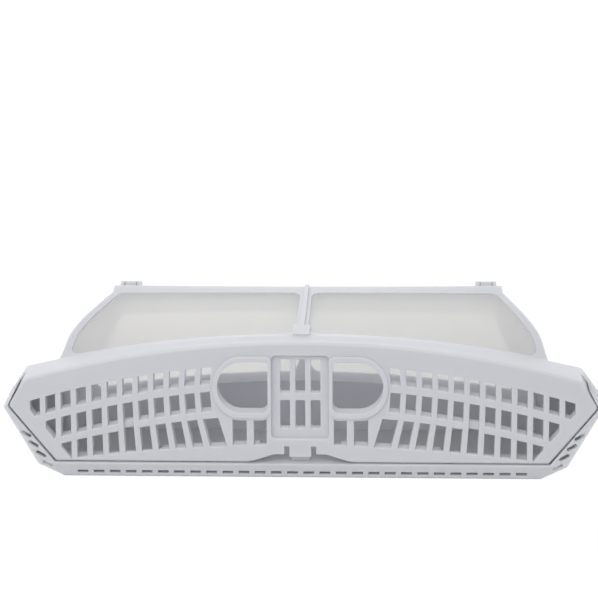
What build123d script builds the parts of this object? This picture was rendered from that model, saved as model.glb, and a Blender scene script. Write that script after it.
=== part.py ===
# Tumble dryer filter: a tray and a hinged grille cover with a wedge-shaped mesh pouch behind them.
# X runs along the width, Y from the grille to the hinge, Z up. Lengths are in millimetres.
import math
import os

from build123d import *

# Clearances
piece_gap = 0.5
rim_gap = 0.75
snap_gap = 0.1
hinge_gap = 0.05
axial_gap = 0.4

# Head outline, seen from the front
face_tilt = 20.0
head_crown = 87.0
head_radius = 740.0
tip_half_width = 197.0
tip_height = 46.0
end_set_in = 11.0
foot_set_in = 32.0
corner_round = 3.0

# Grille moulding
wall = 2.4
plate_depth = 2.8
bar_depth = 6.5
margin_width = 8.0
cap_depth = 31.0
foot_wall_depth = 10.0
front_round = 2.0
tongue_set_in = 36.0
tongue_length = 4.0
tongue_thickness = 1.5

# Slot field of the grille: top and foot of each row at the middle of the width
row_radius = 680.0
top_row = (74.3, 63.5)
middle_row = (58.6, 46.1)
lower_row = (41.7, 22.5)
field_foot_radius = 1220.0
field_side_margin = 12.3
slot_pitch = 10.45
slot_width = 6.8
slot_first_x = 63.6
slot_columns = 12
bar_lean = 7.4
lean_start_x = 160.0
lean_run = 100.0
lean_apex_height = 56.5
lean_span = 35.7
set_back_column = 5
set_back = 3.0

# Finger holes and the slots below them
hole_inner_x = 21.6
hole_width = 33.8
hole_height = 32.5
hole_foot_height = 42.8
hole_top_round = 2.0
hole_foot_round = 5.0
ring_width = 3.2
ring_rise = 1.2
ring_clear = 5.0
slant_slot_inner_x = 56.6
under_slots = ((45.3, 35.8), (31.1, 22.4))

# Recessed centre panel
panel_half_width = 19.4
panel_foot_height = 26.0
panel_top_height = 79.0
panel_recess = 2.5
panel_round = 3.0
centre_slot_x = 10.2
centre_slot_width = 6.6
centre_upper_slots = (75.6, 54.2)
centre_lower_slots = (49.7, 31.8)
centre_slot_round = 1.0

# Arch in the foot of the grille, with the latch tongue
arch_half_width = 37.5
arch_flat_half_width = 17.5
arch_rise = 6.0
arch_round = 5.0
latch_half_width = 7.3
latch_slot_width = 3.4
latch_slot_rise = 5.0
latch_drop = 1.6
post_half_width = 6.0
post_depth = 3.0
post_rise = 5.0

# Tray
tray_overhang = 3.0
tray_foot_set_in = 40.0
tray_corner_set_in = 23.0
tray_corner_height = 9.5
tray_wall = 2.2
strip_height = 10.0
ledge_depth = 14.0
ledge_thickness = 2.0
trough_depth = 60.0
trough_rear_set_in = 3.0
strip_slots = 28
strip_slot_pitch = 10.9
strip_slot_width = 7.2
strip_slot_height = 2.4
end_slots = 4
end_slot_length = 7.5
end_slot_width = 2.4
end_slot_angle = 28.0
end_slot_first_height = 9.0
end_slot_step = 6.4

# Upper frame
lip_thickness = 1.6
band_depth = 10.0
band_step = 0.8
band_thickness = 2.6
panel_step = 0.6
end_wall_set_in = 25.0
frame_thickness = 3.0
frame_set_in = 20.0
frame_bend_set_in = 4.0
frame_rear_set_in = 27.0
frame_bend_depth = 62.0
frame_bend_round = 40.0
rail_setback = 5.0
rail_width = 10.0
rail_crown = 0.2
arch_fade = 1.5
panel_spans = 3
side_bar = 5.5
front_bar = 3.0
rib_width = 8.0
spine_width = 3.0
spine_rise = 1.6
rib_foot_width = 11.0
rib_foot_length = 13.0
window_round = 7.0
mesh_thickness = 0.6

# Lower panel of the pouch
sill_height = 41.0
lower_rail_drop = 8.6
lower_rail_setback = 11.0
lower_rail_width = 7.0
lower_front_bar = 4.0
lower_skin = 2.4

# Hinge
hinge_depth = 123.0
hinge_drop = 3.1
hinge_set_in = 11.0
eye_radius = 4.4
eye_width = 8.0
pin_radius = 2.5
ear_thickness = 3.0
ear_foot_rise = 0.5

# Places worked out from the sizes above
end_half_width = tip_half_width - end_set_in
foot_half_width = tip_half_width - foot_set_in
tongue_half_width = end_half_width - tongue_set_in
end_wall_half_width = end_half_width - end_wall_set_in
tray_half_width = tip_half_width + tray_overhang
tray_foot_half_width = tray_half_width - tray_foot_set_in
tray_corner_half_width = tray_half_width - tray_corner_set_in
frame_front_half_width = end_half_width - frame_set_in
frame_bend_half_width = frame_front_half_width - frame_bend_set_in
frame_rear_half_width = frame_front_half_width - frame_rear_set_in
trough_rear_half_width = frame_front_half_width - trough_rear_set_in
hinge_x = frame_rear_half_width - hinge_set_in
overall_depth = hinge_depth + eye_radius
rail_rear_depth = hinge_depth - rail_setback
rail_front_depth = rail_rear_depth - rail_width
lower_rail_depth = hinge_depth - lower_rail_setback
foot_height = strip_height + piece_gap
band_front_depth = cap_depth + snap_gap
band_rear_depth = cap_depth + band_depth
band_crown = head_crown - band_step
panel_crown = band_crown - panel_step
hinge_height = panel_crown - hinge_drop
lower_rail_height = panel_crown - lower_rail_drop
ear_foot_height = lower_rail_height + ear_foot_rise
panel_front_depth = band_rear_depth - tray_wall
face_slope = math.tan(math.radians(face_tilt))
slab_half_width = frame_front_half_width + tray_wall
beyond = 2 * tray_half_width


def arc_drop(x, radius):
    """How far an arc of this radius has fallen at x from its crown."""
    return radius - math.sqrt(radius * radius - x * x)


def upright(sketch, front, rear):
    """Extrude a sketch drawn in X and Z from one depth to another."""
    return Pos(0, rear, 0) * extrude(Plane.XZ * sketch, amount=rear - front)


def flat(sketch, low, high):
    """Extrude a sketch drawn in X and Y from one height to another."""
    return Pos(0, 0, low) * extrude(sketch, amount=high - low)


def block(half_width, front, rear, low, high):
    """A box centred on the width, between two depths and two heights."""
    return Pos(0, (front + rear) / 2, (low + high) / 2) * Box(2 * half_width, rear - front, high - low)


def both_sides(shape):
    """A shape together with its mirror image across the middle."""
    return shape + mirror(shape, about=Plane.YZ)


def face_depth(z):
    """Depth of the tilted front face at a height."""
    return (z - strip_height) * face_slope


def before_face(shift):
    """Everything in front of the tilted face moved back by a shift."""
    low = face_depth(-beyond) + shift
    high = face_depth(beyond) + shift
    corners = ((-beyond, -beyond), (low, -beyond), (high, beyond), (-beyond, beyond))
    section = make_face(Polyline(*corners, close=True))
    return Pos(-beyond, 0, 0) * extrude(Plane.YZ * section, amount=2 * beyond)


def head_outline(grow=0.0, crown=head_crown, foot=foot_height):
    """Lens outline of the head: straight foot, pointed ends and arched top."""
    end = end_half_width + grow
    tip = tip_half_width + grow
    base = foot_half_width + grow
    end_top = crown - arc_drop(end, head_radius)
    right = [(base, foot), (tip, tip_height), (end, end_top)]
    left = [(-x, z) for x, z in reversed(right)]
    arc = ThreePointArc((end, end_top), (0, crown), (-end, end_top))
    face = make_face(Polyline(*left, *right) + arc)
    return fillet(face.vertices(), corner_round)


def foot_arch():
    """The arched cut-out in the foot of the grille."""
    top = foot_height + arch_rise
    low = foot_height - arch_rise
    slope = (arch_half_width - arch_flat_half_width) / arch_rise
    wide = arch_half_width + slope * (foot_height - low)
    corners = ((-wide, low), (wide, low), (arch_flat_half_width, top), (-arch_flat_half_width, top))
    face = make_face(Polyline(*corners, close=True))
    return fillet(face.vertices().filter_by(lambda v: v.Y > foot_height), arch_round)


def lean(x, z):
    """Shift of a grille bar towards the middle, which bows the bars beside the finger holes."""
    share = max(0.0, (lean_start_x - x) / lean_run)
    return bar_lean * share ** 2 * ((z - lean_apex_height) / lean_span) ** 2


def slot_cell(outer, inner, row, leaning=True):
    """One slot of the grille, between two bars and two arched edges of its row."""
    top, low = row
    low_radius = field_foot_radius if row == lower_row else row_radius
    corners = []
    for x, crown, radius in ((outer, top, row_radius), (inner, top, row_radius),
                             (inner, low, low_radius), (outer, low, low_radius)):
        z = crown - arc_drop(x, radius)
        corners.append((x - lean(x, z) if leaning else x, z))
    return make_face(Polyline(*corners, close=True))


def column_edges(column):
    """Outer and inner side of one column of slots."""
    middle = slot_first_x + slot_pitch * column
    return middle + slot_width / 2, middle - slot_width / 2


def finger_hole(grow=0.0):
    """D-shaped finger hole, flat towards the middle."""
    inner = hole_inner_x - grow
    low = hole_foot_height - grow
    high = hole_foot_height + hole_height + grow
    bow = (high - low) / 2
    straight = hole_inner_x + hole_width + grow - bow
    sides = Polyline((straight, low), (inner, low), (inner, high), (straight, high))
    round_side = ThreePointArc((straight, high), (straight + bow, low + bow), (straight, low))
    face = make_face(sides + round_side)
    foot_corner = face.vertices().sort_by_distance((inner, low))[0]
    face = fillet(foot_corner, hole_foot_round + grow)
    top_corner = face.vertices().sort_by_distance((inner, high))[0]
    return fillet(top_corner, hole_top_round + grow)


def side_slots():
    """The slots beside and below one finger hole."""
    cells = []
    for row in (top_row, middle_row):
        cells += [slot_cell(*column_edges(column), row) for column in range(slot_columns)]
    cells += [slot_cell(*column_edges(column), lower_row) for column in range(1, slot_columns)]
    cells.append(slot_cell(column_edges(0)[0], slant_slot_inner_x, lower_row))
    cells += [slot_cell(outer, inner, lower_row, leaning=False) for outer, inner in under_slots]
    keep = head_outline(-field_side_margin) - finger_hole(ring_clear)
    clipped = [cell & keep for cell in cells]
    return Sketch() + [cell for cell in clipped if cell]


def centre_slots():
    """The six slots of the recessed centre panel."""
    slots = Sketch()
    for top, low in (centre_upper_slots, centre_lower_slots):
        slot = RectangleRounded(centre_slot_width, top - low, centre_slot_round)
        slots += [Pos(x, (top + low) / 2) * slot for x in (-centre_slot_x, 0, centre_slot_x)]
    return slots


def front_grille():
    """Grille moulding: tilted plate with deep bars, walls round its edge and a tongue along its top."""
    outline = head_outline() - foot_arch()
    through = (-cap_depth, 2 * cap_depth)
    body = upright(outline, -cap_depth, cap_depth) - before_face(0)
    top_edge = body.edges().sort_by_distance((0, face_depth(head_crown), head_crown))[0]
    body = fillet(top_edge, front_round)

    inside = offset(outline, amount=-wall)
    margin = inside - offset(outline, amount=-margin_width)
    body -= upright(inside, *through) - before_face(bar_depth)
    body -= upright(margin, *through) - before_face(plate_depth)
    below_tips = block(beyond, -cap_depth, 2 * cap_depth, 0, tip_height)
    body -= below_tips - before_face(foot_wall_depth)

    seat = band_crown - band_thickness - snap_gap
    tongue_strip = Pos(0, head_crown) * Rectangle(2 * tongue_half_width, 2 * head_crown)
    below_tongue = head_outline(crown=seat - tongue_thickness)
    hook = (head_outline(crown=head_crown - wall / 2) - below_tongue) & tongue_strip
    tongue = (head_outline(crown=seat) - below_tongue) & tongue_strip
    body += upright(hook, cap_depth - tongue_length, cap_depth) - before_face(plate_depth / 2)
    body += upright(tongue, cap_depth - tongue_length / 2, cap_depth + tongue_length)

    ring = finger_hole(ring_width) - finger_hole()
    body += both_sides(upright(ring, *through) & (before_face(plate_depth) - before_face(-ring_rise)))
    panel = Pos(0, (panel_foot_height + panel_top_height) / 2) * RectangleRounded(
        2 * panel_half_width, panel_top_height - panel_foot_height, panel_round)
    body -= upright(panel, *through) & before_face(panel_recess)

    outer, inner = column_edges(set_back_column)
    bridge = slot_cell(outer, inner, (middle_row[1], lower_row[0]))
    body -= both_sides(upright(bridge, *through) & before_face(set_back))
    body -= both_sides(upright(side_slots(), *through) & before_face(2 * bar_depth))
    body -= both_sides(upright(finger_hole(), *through) & before_face(2 * bar_depth))
    body -= upright(centre_slots(), *through) & before_face(2 * bar_depth)

    latch_top = foot_height + arch_rise + latch_slot_rise
    latch_foot = foot_height + arch_rise - latch_drop
    slot_x = latch_half_width + latch_slot_width / 2
    slot = Pos(slot_x, (latch_foot + latch_top) / 2) * Rectangle(latch_slot_width, latch_top - latch_foot)
    body -= both_sides(upright(slot, *through) & before_face(2 * bar_depth))
    nose = Pos(0, (latch_foot + latch_top) / 2) * Rectangle(2 * latch_half_width, latch_top - latch_foot)
    body += upright(nose, *through) & (before_face(plate_depth) - before_face(0))
    return body


def half_width(depth):
    """Half the width of the pouch at a depth."""
    if depth < frame_bend_depth:
        share = (depth - band_rear_depth) / (frame_bend_depth - band_rear_depth)
        return frame_front_half_width + share * (frame_bend_half_width - frame_front_half_width)
    share = min(1.0, (depth - frame_bend_depth) / (rail_front_depth - frame_bend_depth))
    return frame_bend_half_width + share * (frame_rear_half_width - frame_bend_half_width)


def pouch_plan(front, rear, inset=0.0):
    """Outline of the pouch from above between two depths, its sides moved in by an inset."""
    corners = (cap_depth, frame_bend_depth, rail_front_depth, overall_depth)
    right = [(half_width(depth) - inset, depth) for depth in corners]
    left = [(-x, y) for x, y in reversed(right)]
    face = make_face(Polyline(*right, *left, close=True))
    bends = face.vertices().filter_by(lambda v: abs(v.Y - frame_bend_depth) < snap_gap)
    face = fillet(bends, frame_bend_round)
    return face & Pos(0, (front + rear) / 2) * Rectangle(2 * beyond, rear - front)


def layer(stations, low, high):
    """A curved layer through arched stations of depth, crown and drop at its sides."""
    sections = []
    for depth, crown, drop in stations:
        w = slab_half_width
        side = crown - drop
        bottom = ThreePointArc((-w, side + low), (0, crown + low), (w, side + low))
        top = ThreePointArc((w, side + high), (0, crown + high), (-w, side + high))
        ends = [Line((w, side + low), (w, side + high)), Line((-w, side + high), (-w, side + low))]
        sections.append(Pos(0, depth, 0) * (Plane.XZ * make_face(bottom + ends[0] + top + ends[1])))
    return loft(sections)


def upper_stations():
    """The upper panel: arched at the band, straight at the far rail."""
    full = arc_drop(slab_half_width, head_radius)
    rows = [(panel_front_depth, panel_crown, full + rail_crown)]
    for step in range(panel_spans + 1):
        share = step / panel_spans
        depth = band_rear_depth + (rail_front_depth - band_rear_depth) * share
        rows.append((depth, panel_crown, rail_crown + full * (1 - share) ** arch_fade))
    rows.append((overall_depth, panel_crown, rail_crown))
    return rows


def lower_stations():
    """The lower panel: it rises from the arched sill of the trough to the straight rail."""
    full = arc_drop(slab_half_width, head_radius)
    rise = (lower_rail_height - sill_height) / (lower_rail_depth - trough_depth)
    fall = full / (lower_rail_depth - trough_depth)
    back = trough_depth - cap_depth
    return [(cap_depth, sill_height - rise * back, full + fall * back + rail_crown),
            (lower_rail_depth + tray_wall, lower_rail_height + rise * tray_wall, rail_crown)]


def rib_foot():
    """The wider foot of the centre rib, from above."""
    return Pos(0, band_rear_depth + rib_foot_length / 2) * Rectangle(rib_foot_width, rib_foot_length)


def windows(front, rear, side):
    """The two mesh windows beside the centre rib, as a left and a right face."""
    area = pouch_plan(front, rear, side) - rib_foot()
    half = Pos(beyond + rib_width / 2, 0) * Rectangle(2 * beyond, 2 * beyond)
    right = offset(offset(area & half, amount=-window_round), amount=window_round)
    return mirror(right, about=Plane.YZ), right


def upper_windows():
    return windows(band_rear_depth + front_bar, rail_front_depth, side_bar)


def lower_windows():
    rear = lower_rail_depth - lower_rail_width
    return windows(trough_depth + lower_front_bar, rear, side_bar + tray_wall)


def upper_mesh(window):
    middle = -frame_thickness / 2
    sheet = layer(upper_stations(), middle - mesh_thickness / 2, middle + mesh_thickness / 2)
    return sheet & flat(window, 0, beyond)


def lower_mesh(window):
    middle = lower_skin / 2
    sheet = layer(lower_stations(), middle - mesh_thickness / 2, middle + mesh_thickness / 2)
    return sheet & flat(window, 0, beyond)


def hinge_bar(radius, length):
    """A round bar along the hinge line."""
    return Pos(0, hinge_depth, hinge_height) * Rot(0, 90, 0) * Cylinder(radius, length)


def upper_frame():
    """Upper moulding: arched band, end lips, panel frame with its rib, far rail and hinge eyes."""
    lip_grow = piece_gap + lip_thickness
    above_tips = Pos(0, tip_height + piece_gap + head_crown / 2) * Rectangle(2 * beyond, head_crown)
    band_outer = head_outline(lip_grow, band_crown) & above_tips
    band_inner = head_outline(-band_thickness, band_crown - band_thickness)
    body = upright(band_outer - band_inner, band_front_depth, band_rear_depth)
    lips = band_outer - head_outline(piece_gap, head_crown + band_thickness)
    body += upright(lips, -cap_depth, band_rear_depth) - before_face(0)
    middle = Pos(0, head_crown / 2) * Rectangle(2 * end_wall_half_width, 2 * head_crown)
    body += upright(band_outer - middle, panel_front_depth, band_rear_depth)

    left, right = upper_windows()
    panel = pouch_plan(panel_front_depth, rail_rear_depth)
    body += layer(upper_stations(), -frame_thickness, 0) & flat(panel - left - right, 0, beyond)
    rib_length = rail_rear_depth - band_rear_depth
    spine = Pos(0, band_rear_depth + rib_length / 2) * Rectangle(spine_width, rib_length)
    body += layer(upper_stations(), -frame_thickness, spine_rise) & flat(spine + rib_foot(), 0, beyond)

    arm_front = rail_rear_depth - tray_wall
    arm = block(eye_width / 2, arm_front, hinge_depth, panel_crown - frame_thickness, panel_crown)
    eye = hinge_bar(eye_radius, eye_width) + arm - hinge_bar(pin_radius + hinge_gap, 2 * eye_width)
    body += both_sides(Pos(hinge_x, 0, 0) * eye)
    return body


def tray_outline():
    """Front outline of the tray, carried on above the tips."""
    slope = (tray_half_width - tray_corner_half_width) / (tip_height - tray_corner_height)
    top = 2 * tip_height
    wide = tray_half_width + slope * (top - tip_height)
    right = [(tray_foot_half_width, 0), (tray_corner_half_width, tray_corner_height), (wide, top)]
    left = [(-x, z) for x, z in reversed(right)]
    return make_face(Polyline(*right, *left, close=True))


def trough_plan():
    """Outline of the trough from above: as wide as the head in front, as wide as the pouch behind."""
    right = [(beyond, -ledge_depth), (beyond, band_rear_depth), (frame_front_half_width, band_rear_depth),
             (trough_rear_half_width, trough_depth)]
    left = [(-x, y) for x, y in reversed(right)]
    return make_face(Polyline(*right, *left, close=True))


def end_slot_cuts():
    """Slanted slots in the front face of one end of the tray."""
    cuts = Sketch()
    slope = (tray_half_width - tray_corner_half_width) / (tip_height - tray_corner_height)
    cap_slope = (tip_half_width - foot_half_width) / (tip_height - foot_height)
    for step in range(end_slots):
        z = end_slot_first_height + end_slot_step * step
        outer = tray_corner_half_width + slope * (z - tray_corner_height)
        inner = foot_half_width + cap_slope * max(0.0, z - foot_height)
        slot = Rot(0, 0, end_slot_angle) * SlotOverall(end_slot_length, end_slot_width)
        cuts += Pos((outer + inner) / 2, z) * slot
    return cuts


def lower_tray():
    """Lower moulding: slotted strip, ledge, trough, pouch walls, lower mesh frame, hinge ears and pins."""
    outer_trough = upright(tray_outline(), 0, trough_depth) & flat(trough_plan(), 0, tip_height)
    outer_trough -= before_face(0)
    inner_outline = offset(tray_outline(), amount=-tray_wall)
    inner_trough = upright(inner_outline, tray_wall, trough_depth)
    inner_trough &= flat(offset(trough_plan(), amount=-tray_wall), 0, tip_height)
    inner_trough -= before_face(tray_wall)
    ledge = outer_trough & block(beyond, 0, ledge_depth, strip_height - ledge_thickness, strip_height)

    ceiling = layer(upper_stations(), -frame_thickness - piece_gap, beyond)
    skin_floor = layer(lower_stations(), -beyond, 0)
    skin_top = layer(lower_stations(), -beyond, lower_skin)
    outer_plan = pouch_plan(band_rear_depth + piece_gap, lower_rail_depth)
    outer_pouch = flat(outer_plan, 0, beyond) - ceiling - skin_floor
    inner_plan = pouch_plan(panel_front_depth, lower_rail_depth - tray_wall, tray_wall)
    inner_pouch = flat(inner_plan, 0, beyond) - skin_top

    body = outer_trough + outer_pouch - inner_trough - inner_pouch
    opening = head_outline(rim_gap, head_crown + band_thickness, strip_height)
    body -= upright(opening, -cap_depth, cap_depth) & before_face(2 * tray_wall)
    body += ledge

    left, right = lower_windows()
    body -= layer(lower_stations(), -lower_skin, 2 * lower_skin) & flat(left + right, 0, beyond)
    strip_slot = Pos(0, tray_wall + strip_slot_height / 2) * Rectangle(strip_slot_width, strip_slot_height)
    first = -strip_slot_pitch * (strip_slots - 1) / 2
    row = Sketch() + [Pos(first + strip_slot_pitch * step, 0) * strip_slot for step in range(strip_slots)]
    body -= upright(row, -tray_wall, tray_wall)
    body -= both_sides(upright(end_slot_cuts(), -cap_depth, cap_depth) & before_face(tray_wall))

    post_front = face_depth(strip_height + post_rise) + plate_depth + piece_gap
    body += block(post_half_width, post_front, post_front + post_depth, strip_height - ledge_thickness,
                  strip_height + post_rise)

    ear_x = eye_width / 2 + axial_gap + ear_thickness / 2
    ear_top = panel_crown - frame_thickness - 2 * piece_gap
    ear = hinge_bar(eye_radius, ear_thickness)
    ear += block(ear_thickness / 2, lower_rail_depth - tray_wall, hinge_depth, ear_foot_height, ear_top)
    hinge = Pos(ear_x, 0, 0) * ear + Pos(-ear_x, 0, 0) * ear + hinge_bar(pin_radius, 2 * ear_x)
    body += both_sides(Pos(hinge_x, 0, 0) * hinge)
    return body


def save(name, shape):
    """Write one piece, with the middle of the depth at the origin."""
    export_step(Pos(0, -overall_depth / 2, 0) * shape, f"parts/{name}.step")


os.makedirs("parts", exist_ok=True)
save("front_grille", front_grille())
save("upper_frame", upper_frame())
save("lower_tray", lower_tray())
for side, upper_window, lower_window in zip(("left", "right"), upper_windows(), lower_windows()):
    save(f"upper_mesh_{side}", upper_mesh(upper_window))
    save(f"lower_mesh_{side}", lower_mesh(lower_window))
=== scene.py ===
# %% [markdown]
# A tumble dryer filter
#
# The filter is two white mouldings that close like a book round a wedge-shaped pouch. The front is an
# arched grille with two finger holes, and the pouch behind it has panes of fine nylon mesh. The hard
# mouldings come from the CAD frame and keep their shape here. The cloth, the finishes, the light and
# the camera are made in this file.

# %% Load the frame
import math

import bpy
from mathutils import Euler, Matrix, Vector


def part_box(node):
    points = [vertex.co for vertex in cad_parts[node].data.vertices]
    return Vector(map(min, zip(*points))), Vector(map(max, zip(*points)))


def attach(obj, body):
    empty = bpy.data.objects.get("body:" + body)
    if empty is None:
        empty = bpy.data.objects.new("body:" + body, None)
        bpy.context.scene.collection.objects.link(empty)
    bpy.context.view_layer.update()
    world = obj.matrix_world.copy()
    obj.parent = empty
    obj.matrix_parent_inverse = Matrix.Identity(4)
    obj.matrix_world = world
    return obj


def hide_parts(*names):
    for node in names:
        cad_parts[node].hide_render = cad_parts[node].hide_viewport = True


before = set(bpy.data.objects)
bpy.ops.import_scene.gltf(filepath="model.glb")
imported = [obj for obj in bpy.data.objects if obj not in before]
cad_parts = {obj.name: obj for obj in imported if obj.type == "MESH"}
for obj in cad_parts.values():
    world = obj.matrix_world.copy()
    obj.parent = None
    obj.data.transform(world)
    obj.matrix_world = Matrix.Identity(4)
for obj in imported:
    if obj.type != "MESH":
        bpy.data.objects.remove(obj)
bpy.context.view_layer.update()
scene = bpy.context.scene
bpy.ops.object.select_all(action="DESELECT")

# %% [markdown]
# The camera
#
# The filter was taken from the front and a little above, with a long lens. The two pointed tips, the foot
# corners and the way the pouch narrows behind the grille fix the distance, the height and the lens. The
# picture was cut from a wider one, so its middle lies a little beside the lens axis, and the camera leaned
# by a degree or two. A shift of the lens and a small roll repeat both.

# %% Place the camera
IMAGE_PIXELS = 598
FOCAL_PIXELS = 1465
SENSOR_MM = 36.0
CAMERA_PLACE = (0.0620, -0.8925, 0.5390)
CAMERA_DOWN_DEG = 26.05
CAMERA_TURN_DEG = 3.33
CAMERA_ROLL_DEG = -1.36
AXIS_OFFSET_PIXELS = 18

aim = Euler((math.radians(90 - CAMERA_DOWN_DEG), 0, math.radians(CAMERA_TURN_DEG))).to_matrix()
roll = Matrix.Rotation(math.radians(CAMERA_ROLL_DEG), 3, "Z")
bpy.ops.object.camera_add(location=CAMERA_PLACE, rotation=(aim @ roll).to_euler())
camera = bpy.context.object
camera.name = "front_camera"
camera.data.sensor_width = SENSOR_MM
camera.data.lens = SENSOR_MM * FOCAL_PIXELS / IMAGE_PIXELS
camera.data.shift_x = -AXIS_OFFSET_PIXELS / IMAGE_PIXELS
scene.camera = camera
print("lens", round(camera.data.lens, 1), "mm, shift", round(camera.data.shift_x, 3))

# %% [markdown]
# Two helpers for materials
#
# Colours are easiest to judge as the hex values a painter or a web page uses, but shaders work in linear
# light, so one function turns them. A second one adds a node, sets it and links it, which keeps each
# material readable from top to bottom.

# %% Helpers for colours and nodes
def linear(hex_code):
    """Turn an sRGB hex colour to the linear values that a shader takes."""
    parts = [int(hex_code[i:i + 2], 16) / 255 for i in (1, 3, 5)]
    return [p / 12.92 if p <= 0.04045 else ((p + 0.055) / 1.055) ** 2.4 for p in parts] + [1.0]


def add_node(tree, kind, sockets=None, **settings):
    """Add a node, set its properties, and fill or link its sockets."""
    made = tree.nodes.new(kind)
    for name, value in settings.items():
        setattr(made, name, value)
    for name, value in (sockets or {}).items():
        if isinstance(value, bpy.types.NodeSocket):
            tree.links.new(value, made.inputs[name])
        else:
            made.inputs[name].default_value = value
    return made


def new_material(name):
    """A material with an empty node tree and its output."""
    material = bpy.data.materials.new(name)
    material.use_nodes = True
    material.node_tree.nodes.clear()
    output = add_node(material.node_tree, "ShaderNodeOutputMaterial")
    return material, material.node_tree, output


print("grey 50 percent in linear light", round(linear("#808080")[0], 3))

# %% [markdown]
# The moulded plastic
#
# The mouldings are white polypropylene with a cool grey cast, taken from a mould with a fine matt grain.
# The grain breaks the highlight up, so the face looks even and soft. Moulded edges are never sharp: a
# small radius on each catches the light. Modelling that radius on every bar would need many faces, so
# the Bevel node rounds the shading there instead. Thick and thin places cool at different rates, which
# leaves a faint change of tone across the part. The plastic is not quite opaque: light goes a few
# millimetres into it, which softens the shading of the thin walls and bars.

# %% Moulded plastic
GRAIN_SIZE = 0.0007
GRAIN_DEPTH = 0.00005
GRAIN_STRENGTH = 0.25
TONE_SIZE = 0.055
PLASTIC_TONES = ("#D6D7DB", "#DBDCDF")
PLASTIC_ROUGHNESS = (0.40, 0.52)
PLASTIC_IOR = 1.49
EDGE_RADIUS = 0.0005
DEPTH_OF_LIGHT = 0.003

plastic, tree, output = new_material("moulded_polypropylene")
place = add_node(tree, "ShaderNodeTexCoord").outputs["Object"]
tone = add_node(tree, "ShaderNodeTexNoise", {"Vector": place, "Scale": 1 / TONE_SIZE, "Detail": 2.0})
colour = add_node(tree, "ShaderNodeMix",
                  {"Factor": tone.outputs["Fac"], "A": linear(PLASTIC_TONES[0]),
                   "B": linear(PLASTIC_TONES[1])}, data_type="RGBA")
grain = add_node(tree, "ShaderNodeTexNoise", {"Vector": place, "Scale": 1 / GRAIN_SIZE, "Detail": 3.0})
rough = add_node(tree, "ShaderNodeMapRange",
                 {"Value": grain.outputs["Fac"], "To Min": PLASTIC_ROUGHNESS[0],
                  "To Max": PLASTIC_ROUGHNESS[1]})
edge = add_node(tree, "ShaderNodeBevel", {"Radius": EDGE_RADIUS}, samples=4)
bump = add_node(tree, "ShaderNodeBump", {"Height": grain.outputs["Fac"], "Normal": edge.outputs["Normal"],
                                         "Strength": GRAIN_STRENGTH, "Distance": GRAIN_DEPTH})
surface = add_node(tree, "ShaderNodeBsdfPrincipled",
                   {"Base Color": colour.outputs["Result"], "Roughness": rough.outputs["Result"],
                    "Normal": bump.outputs["Normal"], "IOR": PLASTIC_IOR,
                    "Subsurface Weight": 1.0, "Subsurface Radius": (1.0, 1.0, 1.0),
                    "Subsurface Scale": DEPTH_OF_LIGHT})
tree.links.new(surface.outputs["BSDF"], output.inputs["Surface"])

for name in ("front_grille", "upper_frame", "lower_tray"):
    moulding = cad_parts[name]
    moulding.data.materials.clear()
    moulding.data.materials.append(plastic)
    print("plastic on", name)

# %% [markdown]
# The woven mesh
#
# The panes are nylon monofilament in a plain weave, heat-set and white. Light from outside comes through
# it, which is why the pouch glows when you look in through the grille. The weave is drawn on the pane's
# own width and depth, thread by thread: where a thread runs the cloth covers about two thirds, and
# between the threads about a fifth. Real threads are about a third of a millimetre apart, too fine to
# hold up at arm's length, so they are drawn about twice as coarse. Nylon lets light into its threads and
# out on the far side, so part of the light is scattered through.

# %% Woven nylon
THREAD_SPACING = 0.0007
THREAD_RELIEF = 0.0001
RELIEF_STRENGTH = 0.3
COVER_BETWEEN_THREADS = 0.22
COVER_ON_THREADS = 0.64
SCATTERED_SHARE = 0.42
CLOUD_SIZE = 0.04
NYLON_TONES = ("#FAF9F7", "#FEFDFB")
NYLON_ROUGHNESS = 0.6
NYLON_IOR = 1.53

nylon, tree, output = new_material("woven_nylon_mesh")
place = add_node(tree, "ShaderNodeTexCoord").outputs["Object"]
axes = add_node(tree, "ShaderNodeSeparateXYZ", {"Vector": place})
threads = []
for axis in ("X", "Y"):
    angle = add_node(tree, "ShaderNodeMath", {0: axes.outputs[axis], 1: 2 * math.pi / THREAD_SPACING},
                     operation="MULTIPLY")
    wave = add_node(tree, "ShaderNodeMath", {0: angle.outputs[0]}, operation="COSINE")
    threads.append(add_node(tree, "ShaderNodeMapRange", {"Value": wave.outputs[0], "From Min": -0.5,
                                                         "From Max": 0.5}).outputs["Result"])
weave = add_node(tree, "ShaderNodeMath", {0: threads[0], 1: threads[1]}, operation="MAXIMUM")
cover = add_node(tree, "ShaderNodeMapRange",
                 {"Value": weave.outputs[0], "To Min": COVER_BETWEEN_THREADS, "To Max": COVER_ON_THREADS})
cloudy = add_node(tree, "ShaderNodeTexNoise", {"Vector": place, "Scale": 1 / CLOUD_SIZE, "Detail": 2.0})
shade = add_node(tree, "ShaderNodeMix",
                 {"Factor": cloudy.outputs["Fac"], "A": linear(NYLON_TONES[0]),
                  "B": linear(NYLON_TONES[1])}, data_type="RGBA")
bump = add_node(tree, "ShaderNodeBump",
                {"Height": weave.outputs[0], "Strength": RELIEF_STRENGTH, "Distance": THREAD_RELIEF})
front = add_node(tree, "ShaderNodeBsdfPrincipled",
                 {"Base Color": shade.outputs["Result"], "Roughness": NYLON_ROUGHNESS, "IOR": NYLON_IOR,
                  "Normal": bump.outputs["Normal"]})
glow = add_node(tree, "ShaderNodeBsdfTranslucent", {"Color": shade.outputs["Result"]})
thread = add_node(tree, "ShaderNodeMixShader",
                  {0: SCATTERED_SHARE, 1: front.outputs["BSDF"], 2: glow.outputs["BSDF"]})
gap = add_node(tree, "ShaderNodeBsdfTransparent")
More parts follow.
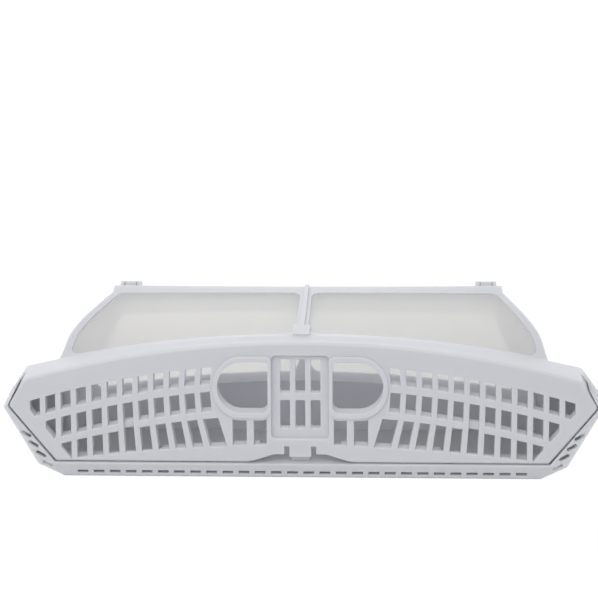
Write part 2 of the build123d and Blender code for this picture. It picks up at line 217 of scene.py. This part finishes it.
surface = add_node(tree, "ShaderNodeMixShader",
                   {0: cover.outputs["Result"], 1: gap.outputs["BSDF"], 2: thread.outputs[0]})
tree.links.new(surface.outputs[0], output.inputs["Surface"])
print("weave spacing", THREAD_SPACING * 1000, "mm")

# %% [markdown]
# The four panes of cloth
#
# Each pane is stretched in its frame and moulded in at its edge. A flat plane would not follow the arch
# of the pouch, so each pane starts as the upper skin of the CAD pane, which already has the outline of
# its window. It is cut into small cells, sags a little between its edges, and gets the thickness of
# the cloth.

# %% Cloth for the windows
CELL = 0.006
SMALLEST_EDGE = CELL / 20
WELD_DISTANCE = 1e-6
UPWARD = 0.5
CLOTH_THICKNESS = 0.0003
SAG = 0.0007
SMOOTH_ANGLE_DEG = 40


def skin_of(node, name):
    """A copy of the upper skin of a CAD pane, as an object of its own."""
    cloth = bpy.data.objects.new(name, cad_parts[node].data.copy())
    scene.collection.objects.link(cloth)
    bpy.ops.object.select_all(action="DESELECT")
    cloth.select_set(True)
    bpy.context.view_layer.objects.active = cloth
    bpy.ops.mesh.customdata_custom_splitnormals_clear()
    bpy.ops.object.mode_set(mode="EDIT")
    bpy.ops.mesh.select_all(action="SELECT")
    bpy.ops.mesh.remove_doubles(threshold=WELD_DISTANCE)
    bpy.ops.mesh.select_mode(type="FACE")
    bpy.ops.object.mode_set(mode="OBJECT")
    for face in cloth.data.polygons:
        face.select = face.normal.z < UPWARD
    bpy.ops.object.mode_set(mode="EDIT")
    bpy.ops.mesh.delete(type="FACE")
    bpy.ops.object.mode_set(mode="OBJECT")
    return cloth


def cut_into_cells(low, high):
    """Cut the active cloth along its width and its depth, and close up the slivers."""
    bpy.ops.object.mode_set(mode="EDIT")
    for axis in (0, 1):
        normal = (1 - axis, axis, 0)
        for step in range(1, int((high[axis] - low[axis]) / CELL) + 1):
            point = [0, 0, 0]
            point[axis] = low[axis] + step * CELL
            bpy.ops.mesh.select_all(action="SELECT")
            bpy.ops.mesh.bisect(plane_co=point, plane_no=normal)
    bpy.ops.mesh.select_all(action="SELECT")
    bpy.ops.mesh.remove_doubles(threshold=SMALLEST_EDGE)
    bpy.ops.object.mode_set(mode="OBJECT")


def stretch_pane(node, body, name):
    """Make one pane of cloth, let it sag a little and hand it to its body."""
    cloth = skin_of(node, name)
    low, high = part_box(node)
    cut_into_cells(low, high)
    for vertex in cloth.data.vertices:
        across = (vertex.co.x - low.x) / (high.x - low.x)
        along = (vertex.co.y - low.y) / (high.y - low.y)
        vertex.co.z -= SAG * math.sin(math.pi * across) * math.sin(math.pi * along)
    thicken = cloth.modifiers.new("thickness", "SOLIDIFY")
    thicken.thickness = CLOTH_THICKNESS
    thicken.use_quality_normals = True
    bpy.ops.object.modifier_apply(modifier=thicken.name)
    bpy.ops.object.shade_smooth_by_angle(angle=math.radians(SMOOTH_ANGLE_DEG))
    cloth.data.materials.clear()
    cloth.data.materials.append(nylon)
    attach(cloth, body)
    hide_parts(node)


for side in ("left", "right"):
    stretch_pane(f"upper_mesh_{side}", "upper_half", f"upper_cloth_{side}")
    stretch_pane(f"lower_mesh_{side}", "lower_half", f"lower_cloth_{side}")

# %% [markdown]
# The floor and the light
#
# The filter lies on a white ground under soft light from above, as in a catalogue. One large lamp over
# the front gives the faces their brightness, and an even white surround fills the shadows. A second lamp
# stands low behind the part, where a lit white backdrop would be: it comes in through the panes and makes
# them glow. The ground looks white to the camera and keeps only a trace of shadow under the part.

# %% Floor, surround and lamps
FLOOR_SIZE = 12
GROUND_WHITE_SHARE = 0.93
GROUND_WHITE_STRENGTH = 1.04
SURROUND_STRENGTH = 0.66

bpy.ops.mesh.primitive_plane_add(size=FLOOR_SIZE)
floor = bpy.context.object
floor.name = "floor"
ground, tree, output = new_material("white_ground")
ray = add_node(tree, "ShaderNodeLightPath")
seen = add_node(tree, "ShaderNodeMath", {0: ray.outputs["Is Camera Ray"], 1: ray.outputs["Is Glossy Ray"]},
                operation="MAXIMUM")
seen = add_node(tree, "ShaderNodeMath", {0: seen.outputs[0], 1: ray.outputs["Is Transmission Ray"]},
                operation="MAXIMUM")
share = add_node(tree, "ShaderNodeMath", {0: seen.outputs[0], 1: GROUND_WHITE_SHARE}, operation="MULTIPLY")
paper = add_node(tree, "ShaderNodeBsdfDiffuse", {"Color": linear("#F2F2F2")})
glow = add_node(tree, "ShaderNodeEmission", {"Color": linear("#FFFFFF"), "Strength": GROUND_WHITE_STRENGTH})
mixed = add_node(tree, "ShaderNodeMixShader", {0: share.outputs[0], 1: paper.outputs[0], 2: glow.outputs[0]})
tree.links.new(mixed.outputs[0], output.inputs["Surface"])
floor.data.materials.append(ground)

world = bpy.data.worlds.new("studio")
scene.world = world
world.use_nodes = True
tree = world.node_tree
tree.nodes.clear()
output = add_node(tree, "ShaderNodeOutputWorld")
ray = add_node(tree, "ShaderNodeLightPath")
even = add_node(tree, "ShaderNodeBackground", {"Color": linear("#FBFCFF"), "Strength": SURROUND_STRENGTH})
white = add_node(tree, "ShaderNodeBackground", {"Color": linear("#FFFFFF"), "Strength": 1.0})
mixed = add_node(tree, "ShaderNodeMixShader",
                 {0: ray.outputs["Is Camera Ray"], 1: even.outputs[0], 2: white.outputs[0]})
tree.links.new(mixed.outputs[0], output.inputs["Surface"])


def softbox(name, place, turn_deg, size, watts):
    """A rectangular lamp at a place, turned by degrees about X, Y and Z."""
    bpy.ops.object.light_add(type="AREA", location=place, rotation=[math.radians(a) for a in turn_deg])
    lamp = bpy.context.object
    lamp.name = name
    lamp.data.shape = "RECTANGLE"
    lamp.data.size, lamp.data.size_y = size
    lamp.data.energy = watts


softbox("overhead_softbox", place=(-0.25, -0.7, 1.35), turn_deg=(25, -10, 0), size=(1.6, 1.2), watts=7.3)
softbox("backdrop_light", place=(0, 1.3, 0.32), turn_deg=(-90, 0, 0), size=(2.4, 0.5), watts=9.5)
scene.view_settings.view_transform = "Standard"
